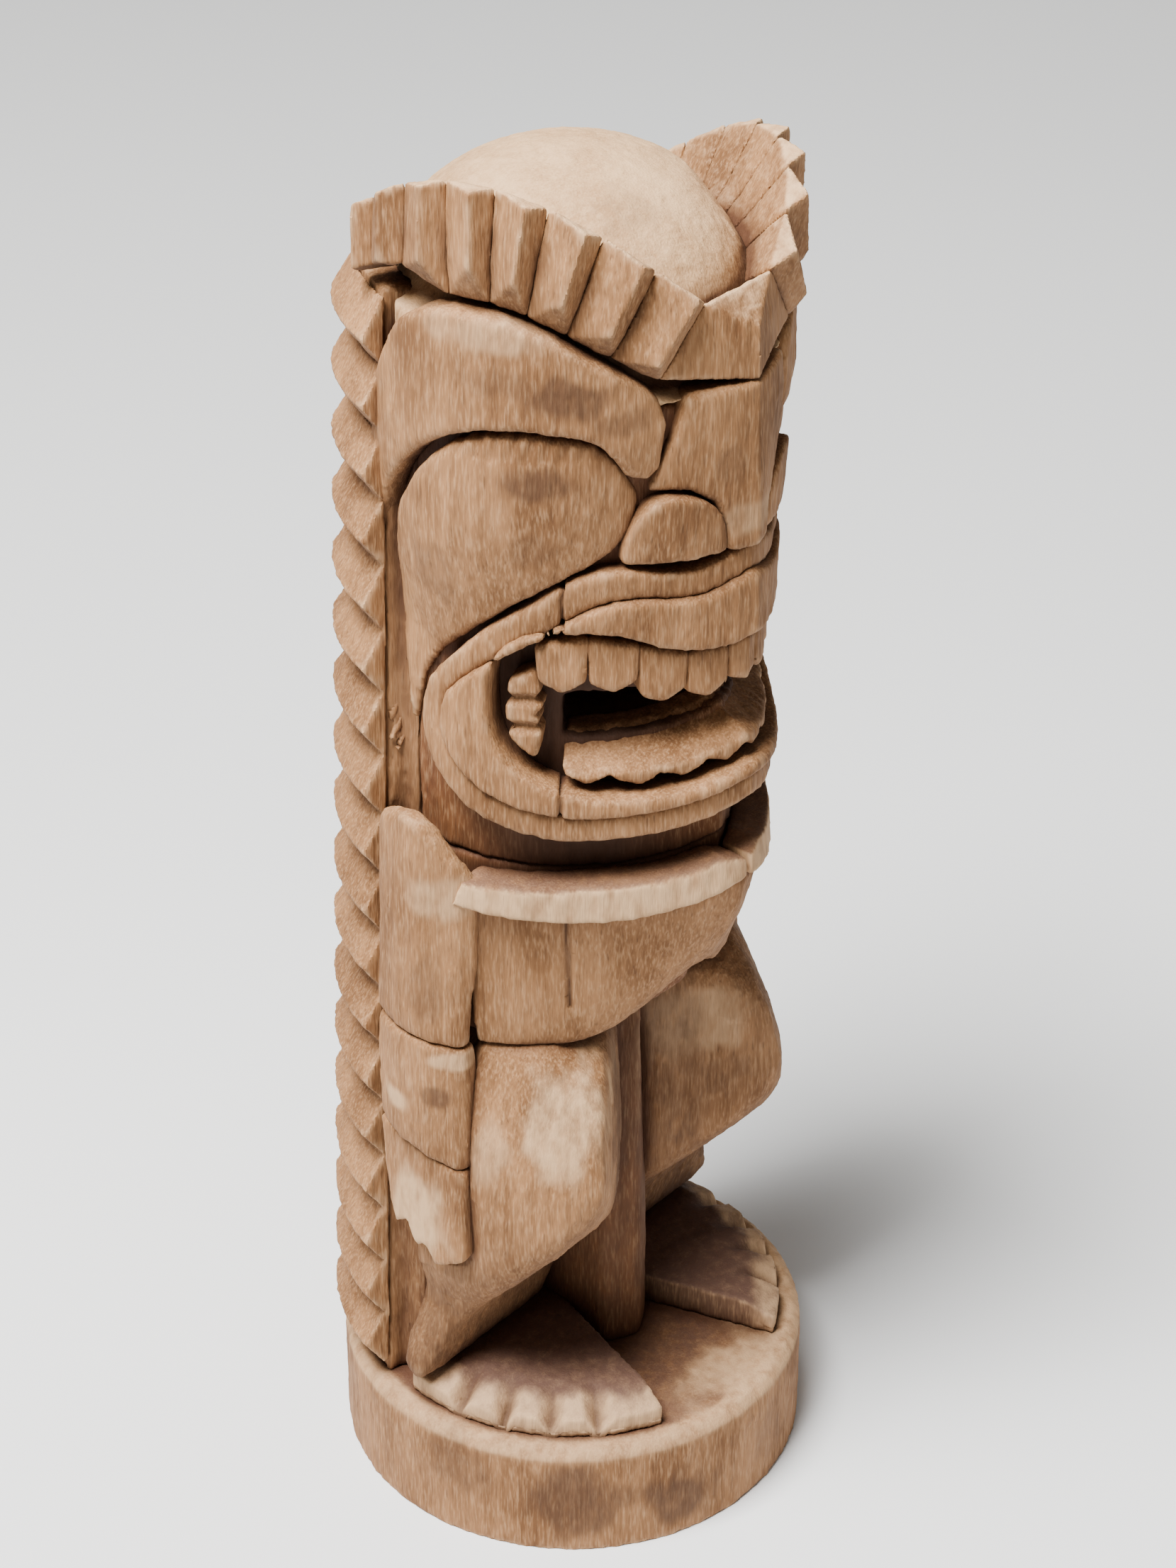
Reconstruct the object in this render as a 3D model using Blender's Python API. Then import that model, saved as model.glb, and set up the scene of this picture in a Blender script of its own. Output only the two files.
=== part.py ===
"""Carved wooden tiki figure: one log on a round plinth, split along its deep cuts into its carved regions.

Metres, +Z up. The figure faces -Y and its own left is +X. The origin is the centre of the underside.
Angles round the log are in degrees from the front (-Y), growing towards the figure's left (+X).
"""
import math

import bmesh
import bpy
from mathutils import Matrix, Vector

MM = 0.001

# --- driving dimensions, in metres and degrees ---------------------------------------------------
HEIGHT = 0.500            # tips of the crest above the floor
PLINTH_RADIUS = 0.0815
PLINTH_HEIGHT = 0.0444
PLINTH_CHAMFER = 0.003
LOG_RADIUS_LOW = 0.0848   # of the log just above the plinth
LOG_RADIUS_HIGH = 0.0710  # of the log at the crest's tips
GAP = 0.0003              # kept between two carved regions

FOOT_HEIGHT = 0.012
FOOT_RADIUS = 0.0735
FOOT_INNER_ANGLE = 25.0
FOOT_OUTER_ANGLE = 98.0
TOE_COUNT = 5
TOE_NOTCH_LENGTH = 0.013

LEG_INNER = 0.0115        # inner wall of a leg, from the middle plane
LEG_SHARE = 0.93          # outer face of a leg, as a share of the log's radius
KNEE_POINT = (0.049, -0.0545)  # front inner edge of a knee, seen from above
COLUMN_HALF_WIDTH = 0.011
COLUMN_FRONT = -0.030     # ridge of the column between the legs

ARM_INNER = 77.0
ARM_OUTER = 106.5
ARM_BED_SHARE = 0.845     # the thigh is cut back to this under the arm

FIN_COUNT = 18
FIN_DEPTH = 0.0075
MANE_FRONT_ANGLE = 108.0
MANE_BACK_ANGLE = 142.0

CREST_TEETH = 8           # on each side of the front block
CREST_TOOTH_ANGLE = 13.8
CREST_FACE_HEIGHT = 0.023
CREST_FRONT_FACE = 0.016  # the crest's face is lower at its front point
CREST_FRONT_DROP = 0.051  # the front point is this much lower than the tips
CREST_INNER_RADIUS = 0.69 * LOG_RADIUS_HIGH
CREST_BACK_ANGLE = CREST_TOOTH_ANGLE * (CREST_TEETH + 0.6)

SKULL_DRUM_RADIUS = CREST_INNER_RADIUS + 0.007
PLEAT_DEPTH = 0.006
PLEAT_GAP_ANGLE = 0.35
SOFFIT_DROP = 0.013       # the crest's underside slopes this far down to the brow

UPPER_TEETH = 9
TOOTH_ANGLE = 13.0
TOOTH_LENGTH = 0.014
LOWER_TOOTH_HEIGHT = 0.013
TOOTH_CLEARANCE = 0.0036
LIP_OUTER_WIDTH = 0.0085
MOUTH_HALF_WIDTH = 0.110  # along the log's surface, from the middle to the mouth's corner
MOUTH_HEIGHT = 0.092
CHEST_HEIGHT = 0.068      # from the belly's underside to the chest's edge
CHEST_RIM_HEIGHT = 0.012

# --- heights, stacked from the floor -------------------------------------------------------------
Z_FLOOR = PLINTH_HEIGHT
Z_FOOT = Z_FLOOR + GAP
FOOT_TOP = Z_FLOOR + FOOT_HEIGHT
Z_HIP = Z_FLOOR + 0.158            # belly's underside
Z_CHEST = Z_HIP + CHEST_HEIGHT     # chest's shelf
Z_SHOULDER = Z_CHEST + 0.014
Z_ELBOW = Z_HIP - 0.008
Z_WRIST = Z_HIP - 0.052
Z_HAND_TIP = Z_HIP - 0.090
Z_KNEE = Z_FLOOR + 0.110
Z_CHIN = Z_CHEST + 0.016
Z_MOUTH = Z_CHIN + MOUTH_HEIGHT / 2
Z_CREST_TIP = HEIGHT
Z_CREST_FRONT = Z_CREST_TIP - CREST_FRONT_DROP
Z_NOSE_FOOT = Z_CHIN + MOUTH_HEIGHT - 0.002
Z_NECK_TOP = Z_CREST_FRONT - 0.019
Z_BODY_TOP = Z_NECK_TOP - 0.001
Z_SKULL_TOP = HEIGHT - 0.013

BACK_PLANE = 0.012        # the back body starts this far behind the axis
CORE_SHARE = 0.80         # core radius as a share of the log's radius
BACK_SHARE = 0.885        # the back under the fins, as a share of the log's radius


# --- the crest's line round the head --------------------------------------------------------------
def crest_lift(angle):
    """Share of the crest's rise reached at an angle: none in front, all of it at the side."""
    return max(math.sin(math.radians(min(1.2 * abs(angle), 150.0))), 0.0) ** 1.2


def crest_tip(angle):
    """Height of the crest's top edge."""
    return Z_CREST_FRONT + CREST_FRONT_DROP * crest_lift(angle)


def crest_foot(angle):
    """Height of the lower edge of the crest's face."""
    front_foot = Z_CREST_FRONT - CREST_FRONT_FACE
    return front_foot + (CREST_FRONT_DROP - CREST_FACE_HEIGHT + CREST_FRONT_FACE) * crest_lift(angle)


def crest_soffit(angle):
    """Height of the inner edge of the crest's sloping underside; it is level near the back."""
    return crest_foot(angle) - SOFFIT_DROP * crest_lift(angle) * min(max((100.0 - abs(angle)) / 15.0, 0.0), 1.0)


Z_NAPE = crest_foot(CREST_BACK_ANGLE) - 0.0021   # top of the back, just under the crest's ends

# --- colours -------------------------------------------------------------------------------------
TAN = (0.42, 0.26, 0.14)
PALE = (0.55, 0.38, 0.23)
BROWN = (0.30, 0.17, 0.09)
DARK = (0.16, 0.085, 0.045)
PLUM = (0.30, 0.20, 0.16)


def log_radius(z):
    """Radius of the tapering log at height z."""
    share = (z - PLINTH_HEIGHT) / (HEIGHT - PLINTH_HEIGHT)
    return LOG_RADIUS_LOW + (LOG_RADIUS_HIGH - LOG_RADIUS_LOW) * share


def around(angle, radius, z):
    """A point at an angle round the log."""
    turn = math.radians(angle)
    return Vector((radius * math.sin(turn), -radius * math.cos(turn), z))


# --- scene helpers -------------------------------------------------------------------------------
for old in list(bpy.data.objects):
    bpy.data.objects.remove(old, do_unlink=True)

figure = bpy.data.collections.new("tiki_figure")
cutters = bpy.data.collections.new("cutters")
for collection in (figure, cutters):
    bpy.context.scene.collection.children.link(collection)


def wood(name, colour, roughness):
    """A plain wood material."""
    material = bpy.data.materials.new(name)
    material.use_nodes = True
    shader = material.node_tree.nodes["Principled BSDF"]
    shader.inputs["Base Color"].default_value = (*colour, 1.0)
    shader.inputs["Roughness"].default_value = roughness
    shader.inputs["Metallic"].default_value = 0.0
    return material


WOOD = {
    "tan_wood": wood("tan_wood", TAN, 0.72),
    "pale_wood": wood("pale_wood", PALE, 0.78),
    "brown_wood": wood("brown_wood", BROWN, 0.70),
    "dark_cut": wood("dark_cut", DARK, 0.85),
    "plum_wood": wood("plum_wood", PLUM, 0.76),
}


def place(name, bm, slot, cutter=False):
    """Makes an object of a bmesh, with its faces turned outwards, and frees the bmesh."""
    bmesh.ops.recalc_face_normals(bm, faces=bm.faces)
    if bm.calc_volume(signed=True) < 0:
        bmesh.ops.reverse_faces(bm, faces=bm.faces)
    mesh = bpy.data.meshes.new(name)
    bm.to_mesh(mesh)
    bm.free()
    piece = bpy.data.objects.new(name, mesh)
    (cutters if cutter else figure).objects.link(piece)
    if cutter:
        piece.hide_render = True
        piece.display_type = "WIRE"
    else:
        mesh.materials.append(WOOD[slot])
    return piece


def cut(piece, tool, operation="DIFFERENCE"):
    """A Boolean with a cutter."""
    modifier = piece.modifiers.new(operation.lower(), "BOOLEAN")
    modifier.object = tool
    modifier.operation = operation
    modifier.solver = "EXACT"
    return piece


def outline_mesh(loops, corners=()):
    """A flat plate one unit thick, from closed loops of (x, y) points with smooth or sharp corners."""
    curve = bpy.data.curves.new("outline", "CURVE")
    curve.dimensions = "2D"
    curve.fill_mode = "BOTH"
    curve.extrude = 0.5
    for loop in loops:
        spline = curve.splines.new("BEZIER")
        spline.bezier_points.add(len(loop) - 1)
        spline.use_cyclic_u = True
        spline.resolution_u = 3
        for point, (x, y) in zip(spline.bezier_points, loop):
            point.co = (x, y, 0.0)
            kind = "VECTOR" if (x, y) in corners else "AUTO"
            point.handle_left_type = point.handle_right_type = kind
    flat = bpy.data.objects.new("outline", curve)
    bpy.context.scene.collection.objects.link(flat)
    evaluated = flat.evaluated_get(bpy.context.evaluated_depsgraph_get())
    mesh = bpy.data.meshes.new_from_object(evaluated)
    bm = bmesh.new()
    bm.from_mesh(mesh)
    bmesh.ops.remove_doubles(bm, verts=bm.verts, dist=0.00002)
    bmesh.ops.dissolve_limit(bm, angle_limit=0.002, verts=bm.verts, edges=bm.edges)
    bpy.data.objects.remove(flat)
    bpy.data.curves.remove(curve)
    bpy.data.meshes.remove(mesh)
    return bm


def trim(bm, point, normal):
    """Cuts off what lies on the normal's side of a plane, and closes the cut."""
    everything = bm.verts[:] + bm.edges[:] + bm.faces[:]
    result = bmesh.ops.bisect_plane(bm, geom=everything, plane_co=point, plane_no=normal, clear_outer=True)
    edges = [g for g in result["geom_cut"] if isinstance(g, bmesh.types.BMEdge)]
    bmesh.ops.holes_fill(bm, edges=edges)


def slice_up(bm, axis, step):
    """Cuts a mesh by parallel planes, so that it can follow a curved surface."""
    values = [v.co[axis] for v in bm.verts]
    low, high = min(values), max(values)
    normal = Vector((0, 0, 0))
    normal[axis] = 1.0
    for index in range(math.ceil(low / step), math.floor(high / step) + 1):
        everything = bm.verts[:] + bm.edges[:] + bm.faces[:]
        bmesh.ops.bisect_plane(bm, geom=everything, dist=1e-6, plane_co=normal * (index * step), plane_no=normal)


def relief(name, side, loops, inner, outer, slot, corners=(), step=8.0, rise=0.010, cutter=False):
    """A carved pad wrapped round the log.

    The loops are (angle, height) points on the figure's left, mirrored to its right when side is -1.
    inner(angle, z) and outer(angle, z) give the radii of the pad's back and face.
    """
    bm = outline_mesh([[(a * MM, z) for a, z in loop] for loop in loops],
                      [(a * MM, z) for a, z in corners])
    slice_up(bm, 0, step * MM)
    slice_up(bm, 1, rise)
    for vert in bm.verts:
        angle, z, depth = vert.co.x / MM, vert.co.y, vert.co.z + 0.5
        radius = inner(angle, z) * (1 - depth) + outer(angle, z) * depth
        vert.co = around(angle * side, radius, z)
    return place(name, bm, slot, cutter)


def prism(name, points, axis, low, high, slot=None, cutter=False):
    """A flat outline of straight edges pushed along an axis (0 is X, 2 is Z)."""
    bm = outline_mesh([points], points)
    for vert in bm.verts:
        depth = low + (vert.co.z + 0.5) * (high - low)
        vert.co = Vector((depth, vert.co.x, vert.co.y)) if axis == 0 else Vector((vert.co.x, vert.co.y, depth))
    return place(name, bm, slot, cutter)


def drum_cutter(name, share_of_log, z_low, z_high):
    """A tapering drum that keeps to one share of the log's radius."""
    bm = bmesh.new()
    bmesh.ops.create_cone(bm, cap_ends=True, segments=72, radius1=share_of_log * log_radius(z_low),
                          radius2=share_of_log * log_radius(z_high), depth=z_high - z_low,
                          matrix=Matrix.Translation((0, 0, (z_low + z_high) / 2)))
    return place(name, bm, None, cutter=True)


def core(angle, z):
    """Radius of the core under the pads."""
    return CORE_SHARE * log_radius(z) + GAP


def share(value):
    """A surface that keeps to one share of the log's radius."""
    return lambda angle, z: value * log_radius(z)


def bulge(value, drop, angle_mid, angle_span, z_mid, z_span):
    """A surface that is highest at one place and falls away all round."""
    def surface(angle, z):
        away = ((angle - angle_mid) / angle_span) ** 2 + ((z - z_mid) / z_span) ** 2
        return log_radius(z) * value - drop * min(away, 1.6)
    return surface


SIDES = (("left", 1), ("right", -1))

# --- plinth --------------------------------------------------------------------------------------
def make_plinth():
    """Round plinth, the log's full thickness, with a chamfered rim."""
    bm = bmesh.new()
    bmesh.ops.create_cone(bm, cap_ends=True, segments=96, radius1=PLINTH_RADIUS, radius2=PLINTH_RADIUS,
                          depth=PLINTH_HEIGHT, matrix=Matrix.Translation((0, 0, PLINTH_HEIGHT / 2)))
    rim = [e for e in bm.edges if all(v.co.z > PLINTH_HEIGHT - 1e-6 for v in e.verts)]
    bmesh.ops.bevel(bm, geom=rim, offset=PLINTH_CHAMFER, segments=1, affect="EDGES")
    place("plinth", bm, "tan_wood")


make_plinth()

# --- body: the back, the column between the legs, the core behind belly and face ------------------


def half_core(name, z_low, z_high, front, slot):
    """A slice of the core, in front of the dividing plane or behind it."""
    bm = bmesh.new()
    bmesh.ops.create_cone(bm, cap_ends=True, segments=72, radius1=CORE_SHARE * log_radius(z_low),
                          radius2=CORE_SHARE * log_radius(z_high), depth=z_high - z_low,
                          matrix=Matrix.Translation((0, 0, (z_low + z_high) / 2)))
    plane = (0, BACK_PLANE - (GAP if front else 0), 0)
    trim(bm, plane, (0, 1 if front else -1, 0))
    return place(name, bm, slot)


def make_back():
    """The back of the log between and under the two rows of fins."""
    back = half_core("back", Z_FOOT, Z_NAPE, False, "tan_wood")
    edge = MANE_FRONT_ANGLE + 0.5
    loop = [(edge, Z_FOOT), (360.0 - edge, Z_FOOT), (360.0 - edge, Z_NAPE), (edge, Z_NAPE)]
    cut(back, relief("back_ring", 1, [loop], share(CORE_SHARE - 0.02), share(BACK_SHARE), None, loop, cutter=True),
        "UNION")


make_back()


def make_hip_column():
    """The ridged column that stands between the legs."""
    shoulder, rear = COLUMN_FRONT + 0.006, BACK_PLANE - GAP
    points = [(0.0, COLUMN_FRONT), (COLUMN_HALF_WIDTH, shoulder), (COLUMN_HALF_WIDTH, rear),
              (-COLUMN_HALF_WIDTH, rear), (-COLUMN_HALF_WIDTH, shoulder)]
    prism("hip_column", points, 2, Z_FOOT, Z_HIP - GAP, "brown_wood")


make_hip_column()


def bowl(side_share, front_low, front_high):
    """A bowl's surface: it keeps to one share of the log at the side, and swells upwards in front."""
    def surface(angle, z):
        rise = min(max((z - Z_HIP) / CHEST_HEIGHT, 0.0), 1.0) ** 0.6
        front = front_low + (front_high - front_low) * rise
        turn = math.radians(angle)
        return log_radius(z) / math.hypot(math.sin(turn) / side_share, math.cos(turn) / front)
    return surface


bowl_core = bowl(CORE_SHARE, 0.56, CORE_SHARE)


def make_belly_core():
    """The core behind the belly, drawn in at the front of its underside."""
    core_piece = half_core("belly_core", Z_HIP, Z_CHEST - GAP, True, "brown_wood")
    bm = bmesh.new()
    bm.from_mesh(core_piece.data)
    slice_up(bm, 2, 0.012)
    for vert in bm.verts:
        if vert.co.y < 0:
            angle = math.degrees(math.atan2(vert.co.x, -vert.co.y))
            turn = bowl_core(angle, vert.co.z) / core(angle, vert.co.z)
            vert.co.x *= turn
            vert.co.y *= turn
    bm.to_mesh(core_piece.data)
    bm.free()


make_belly_core()
head_core = half_core("head_core", Z_CHEST, Z_BODY_TOP, True, "dark_cut")

# --- mane: two rows of fins up the back ----------------------------------------------------------
Z_FIN_LOW = Z_FLOOR + 0.006
Z_FIN_HIGH = Z_NAPE - 0.0015
FIN_PITCH = (Z_FIN_HIGH - Z_FIN_LOW) / FIN_COUNT


def make_mane(name, side):
    """One row of fins: a zigzag edge turned part of the way round the log."""
    bm = bmesh.new()
    inner = [(BACK_SHARE * log_radius(z) + 2 * GAP, z) for z in (Z_FIN_HIGH, Z_FIN_LOW)]
    outer = []
    for index in range(FIN_COUNT):
        z_low = Z_FIN_LOW + index * FIN_PITCH
        outer.append((log_radius(z_low) - FIN_DEPTH, z_low))
        outer.append((log_radius(z_low + 0.45 * FIN_PITCH), z_low + 0.45 * FIN_PITCH))
    outer.append((log_radius(Z_FIN_HIGH) - FIN_DEPTH, Z_FIN_HIGH))
    corners = [bm.verts.new(around(side * MANE_FRONT_ANGLE, r, z)) for r, z in inner + outer]
    face = bm.faces.new(corners)
    span = math.radians(side * (MANE_BACK_ANGLE - MANE_FRONT_ANGLE))
    start = bmesh.ops.duplicate(bm, geom=[face] + list(face.edges) + list(face.verts))["geom"]
    moving = [g for g in start if isinstance(g, bmesh.types.BMFace)]
    bmesh.ops.spin(bm, geom=moving, cent=(0, 0, 0), axis=(0, 0, 1), angle=span, steps=6)
    bmesh.ops.remove_doubles(bm, verts=bm.verts, dist=0.00001)
    place(name, bm, "tan_wood")


for side_name, side in SIDES:
    make_mane(f"mane_{side_name}", side)

# --- feet and legs -------------------------------------------------------------------------------


def make_foot(name, side):
    """A flat splayed foot with V cuts between its toes."""
    span = FOOT_OUTER_ANGLE - FOOT_INNER_ANGLE
    rim = [(FOOT_INNER_ANGLE + span * i / 12, FOOT_RADIUS) for i in range(13)]
    points = [around(a * side, r, 0).xy for a, r in rim]
    points += [Vector((side * 0.073, BACK_PLANE - GAP)), Vector((side * 0.0120, BACK_PLANE - GAP)),
               Vector((side * 0.0120, -0.006))]
    foot = prism(name, [tuple(p) for p in points], 2, Z_FOOT, FOOT_TOP, "plum_wood")
    for toe in range(1, TOE_COUNT):
        angle = FOOT_INNER_ANGLE + span * toe / TOE_COUNT
        bm = bmesh.new()
        bmesh.ops.create_cone(bm, cap_ends=True, segments=4, radius1=0.0, radius2=0.0052,
                              depth=2 * TOE_NOTCH_LENGTH)
        aim = Matrix.Rotation(math.radians(angle * side), 4, "Z") @ Matrix.Rotation(math.radians(90), 4, "X")
        bmesh.ops.transform(bm, matrix=Matrix.Translation((0, 0, FOOT_RADIUS)), verts=bm.verts)
        bmesh.ops.transform(bm, matrix=aim, verts=bm.verts)
        bmesh.ops.translate(bm, vec=(0, 0, FOOT_TOP + 0.0002), verts=bm.verts)
        cut(foot, place(f"{name}_toe_cut_{toe}", bm, None, cutter=True))
    return foot


def make_leg(name, side):
    """A bent leg: thigh down to the knee in front, calf running back down to the ankle."""
    rear = BACK_PLANE - GAP
    knee = KNEE_POINT[1] - 0.002
    points = [(rear, Z_HIP - GAP), (-0.040, Z_HIP - GAP), (knee + 0.004, Z_HIP - 0.014), (knee, Z_KNEE + 0.012),
              (knee + 0.002, Z_KNEE - 0.008), (-0.046, Z_KNEE - 0.026), (-0.036, Z_KNEE - 0.040),
              (-0.022, Z_KNEE - 0.057), (-0.004, FOOT_TOP + 0.022), (0.002, FOOT_TOP + GAP), (rear, FOOT_TOP + GAP)]
    bm = outline_mesh([points], [points[0], points[1], points[-2], points[-1]])
    for vert in bm.verts:
        depth = LEG_INNER + (vert.co.z + 0.5) * (PLINTH_RADIUS - LEG_INNER)
        vert.co = Vector((side * depth, vert.co.x, vert.co.y))
    leg = place(name, bm, "tan_wood")
    inner_wall = [(side * LEG_INNER, COLUMN_FRONT), (side * KNEE_POINT[0], KNEE_POINT[1]),
                  (side * PLINTH_RADIUS, KNEE_POINT[1]), (side * PLINTH_RADIUS, -PLINTH_RADIUS),
                  (side * LEG_INNER, -PLINTH_RADIUS)]
    cut(leg, prism(f"{name}_wall", inner_wall, 2, 0.0, HEIGHT, cutter=True))
    cut(leg, drum_cutter(f"{name}_limit", LEG_SHARE, 0.0, HEIGHT), "INTERSECT")
    bed = [[(ARM_INNER - 0.4, Z_HAND_TIP - 0.001), (ARM_OUTER + 12.0, Z_HAND_TIP - 0.001),
            (ARM_OUTER + 12.0, Z_HIP + 0.01), (ARM_INNER - 0.4, Z_HIP + 0.01)]]
    cut(leg, relief(f"{name}_bed", side, bed, share(ARM_BED_SHARE), share(1.1), None, bed[0], cutter=True))
    return leg


for side_name, side in SIDES:
    make_foot(f"foot_{side_name}", side)
    make_leg(f"leg_{side_name}", side)


# --- arms ----------------------------------------------------------------------------------------
def make_arm(side_name, side):
    """Upper arm over the core, forearm and hand over the thigh."""
    arm_face = bulge(0.985, 0.0035, (ARM_INNER + ARM_OUTER) / 2, 15.0, Z_ELBOW, 0.2)
    upper = [[(ARM_INNER + 0.5, Z_HIP + GAP), (ARM_OUTER, Z_HIP + GAP), (ARM_OUTER, Z_SHOULDER - 0.006),
              ((ARM_INNER + ARM_OUTER) / 2, Z_SHOULDER), (ARM_INNER + 4.0, Z_SHOULDER - 0.010),
              (ARM_INNER - 3.5, Z_CHEST - 0.006)]]
    relief(f"upper_arm_{side_name}", side, upper, share(0.89), arm_face, "tan_wood",
           upper[0][:3] + upper[0][5:])
    fore = [[(ARM_INNER, Z_WRIST + 0.004), (ARM_OUTER - 2, Z_WRIST + 0.012), (ARM_OUTER, Z_HIP - GAP),
             (ARM_INNER, Z_HIP - GAP)]]
    relief(f"forearm_{side_name}", side, fore, share(0.85), arm_face, "tan_wood", fore[0])
    middle = (ARM_INNER + ARM_OUTER) / 2
    hand = [[(ARM_INNER, Z_WRIST + 0.004 - 2 * GAP), (ARM_INNER, Z_HAND_TIP + 0.006), (middle - 6, Z_HAND_TIP),
             (middle - 3, Z_HAND_TIP + 0.008), (middle, Z_HAND_TIP + 0.004), (middle + 3, Z_HAND_TIP + 0.014),
             (middle + 7, Z_HAND_TIP + 0.009), (middle + 10, Z_HAND_TIP + 0.022),
             (ARM_OUTER - 2, Z_WRIST + 0.012 - 2 * GAP)]]
    relief(f"hand_{side_name}", side, hand, share(0.85), share(0.955), "tan_wood", hand[0])


for side_name, side in SIDES:
    make_arm(side_name, side)


# --- belly and chest -----------------------------------------------------------------------------


def make_belly():
    """The bowl of the belly, right across the front."""
    edge = ARM_INNER - 4.5
    top = Z_CHEST - CHEST_RIM_HEIGHT - GAP
    loop = [(-edge, top), (-edge + 3, Z_HIP + GAP), (0, Z_HIP + GAP), (edge - 3, Z_HIP + GAP), (edge, top), (0, top)]

    def back_wall(angle, z):
        return bowl_core(angle, z) + 2 * GAP

    relief("belly", 1, [loop], back_wall, bowl(0.88, 0.68, 0.955), "tan_wood", loop)


def make_chest_rim(name, side):
    """One half of the chest's raised edge, with the notch at the middle."""
    edge = ARM_INNER - 4.5
    loop = [(1.0, Z_CHEST - CHEST_RIM_HEIGHT), (edge, Z_CHEST - CHEST_RIM_HEIGHT), (edge - 2, Z_CHEST - 0.003),
            (40.0, Z_CHEST), (8.0, Z_CHEST - 0.001), (1.0, Z_CHEST - 0.005)]
    face = bulge(0.985, 0.003, 40.0, 45.0, Z_CHEST - CHEST_RIM_HEIGHT, 0.02)
    relief(name, side, [loop], core, face, "pale_wood", loop)


make_belly()
for side_name, side in SIDES:
    make_chest_rim(f"chest_{side_name}", side)

# --- mouth ---------------------------------------------------------------------------------------


# Half outlines of the mouth from its top round to its bottom: degrees, and height as a share of the
# mouth's height above its middle.
MOUTH_EDGE = [(0, 0.49), (19, 0.465), (42, 0.51), (61, 0.37), (79, 0.17), (92, -0.08),
              (85, -0.34), (64, -0.47), (32, -0.49), (0, -0.48)]
OPENING_UPPER = [(0, 0.16), (24, 0.21), (37, 0.29), (50, 0.31), (66, 0.235), (71, 0.0)]
OPENING_LOWER = [(66, -0.20), (52, -0.30), (30, -0.34), (0, -0.34)]


def mouth_loop(half, inset=0.0):
    """A whole closed outline of the mouth, drawn in by an inset in metres."""
    points = [(a * (1 - inset / MOUTH_HALF_WIDTH), Z_MOUTH + z * (MOUTH_HEIGHT - 2 * inset)) for a, z in half]
    return points + [(-a, z) for a, z in points[-2:0:-1]]


def opening_edge(angle, upper):
    """Height of the opening's upper or lower edge at an angle."""
    points = OPENING_UPPER if upper else OPENING_LOWER[::-1] + OPENING_UPPER[-1:]
    for (a0, z0), (a1, z1) in zip(points, points[1:]):
        if a0 <= abs(angle) <= a1:
            return Z_MOUTH + MOUTH_HEIGHT * (z0 + (z1 - z0) * (abs(angle) - a0) / (a1 - a0))
    return Z_MOUTH


def lip_face(value):
    """The lips bulge most in front."""
    return lambda angle, z: log_radius(z) * value - 0.005 * (abs(angle) / MOUTH_EDGE[5][0]) ** 4


relief("lip_outer", 1, [mouth_loop(MOUTH_EDGE), mouth_loop(MOUTH_EDGE, LIP_OUTER_WIDTH)], core, lip_face(0.955),
       "tan_wood", step=7.0)
relief("lip_inner", 1, [mouth_loop(MOUTH_EDGE, LIP_OUTER_WIDTH + 3 * GAP), mouth_loop(OPENING_UPPER + OPENING_LOWER)],
       core, lip_face(0.985), "tan_wood", step=7.0)

for number in range(UPPER_TEETH):
    left = (number - UPPER_TEETH / 2) * TOOTH_ANGLE + 0.5
    right = left + TOOTH_ANGLE - 1.0
    middle = (left + right) / 2
    top_left, top_right = (opening_edge(a, True) - TOOTH_CLEARANCE for a in (left, right))
    tip = min(top_left, top_right) - TOOTH_LENGTH
    loop = [(left, top_left), (left + 0.8, tip + 0.003), (middle, tip), (right - 0.8, tip + 0.003), (right, top_right)]
    relief(f"upper_tooth_{number + 1}", 1, [loop], core, share(0.93), "pale_wood", loop, step=7.0, rise=0.05)

ROW_EDGE = UPPER_TEETH / 2 * TOOTH_ANGLE
for side_name, side in SIDES:
    outer_angle = ROW_EDGE + 0.5 * TOOTH_ANGLE
    top = opening_edge(ROW_EDGE + 1.0, True) - 0.012
    foot = opening_edge(ROW_EDGE + 1.0, False) + 0.006
    half_way = (top + foot) / 2
    loop = [(ROW_EDGE + 0.5, top), (ROW_EDGE - 1.0, half_way + 0.003), (ROW_EDGE + 1.5, half_way),
            (ROW_EDGE - 1.0, half_way - 0.003), (ROW_EDGE + 0.5, foot), (outer_angle, foot + 0.006),
            (outer_angle + 1.0, half_way), (outer_angle, top - 0.004)]
    relief(f"corner_teeth_{side_name}", side, [loop], core, share(0.92), "pale_wood", loop)

lower_loop = []
for number in range(UPPER_TEETH - 1):
    left = (number - (UPPER_TEETH - 1) / 2) * TOOTH_ANGLE
    base = opening_edge(left + TOOTH_ANGLE / 2, False) + TOOTH_CLEARANCE
    lower_loop += [(left + 1.0, base + 0.003), (left + TOOTH_ANGLE / 2, base), (left + TOOTH_ANGLE - 1.0, base + 0.003)]
lower_top = opening_edge(0.0, False) + TOOTH_CLEARANCE + LOWER_TOOTH_HEIGHT
row_half = (UPPER_TEETH - 1) / 2 * TOOTH_ANGLE
lower_loop += [(row_half - 1.0, lower_top), (-row_half + 1.0, lower_top)]
relief("lower_teeth", 1, [lower_loop], core, share(0.93), "pale_wood", lower_loop)

CAVITY_ANGLE = ROW_EDGE - 6.0
cavity_low = lower_top
cavity_high = lower_top + 0.015
cavity_loop = [(-CAVITY_ANGLE, cavity_low), (CAVITY_ANGLE, cavity_low), (CAVITY_ANGLE, cavity_high),
               (-CAVITY_ANGLE, cavity_high)]
cut(head_core, relief("mouth_hollow", 1, [cavity_loop], share(0.42), share(1.1), None, cavity_loop, cutter=True))

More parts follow.
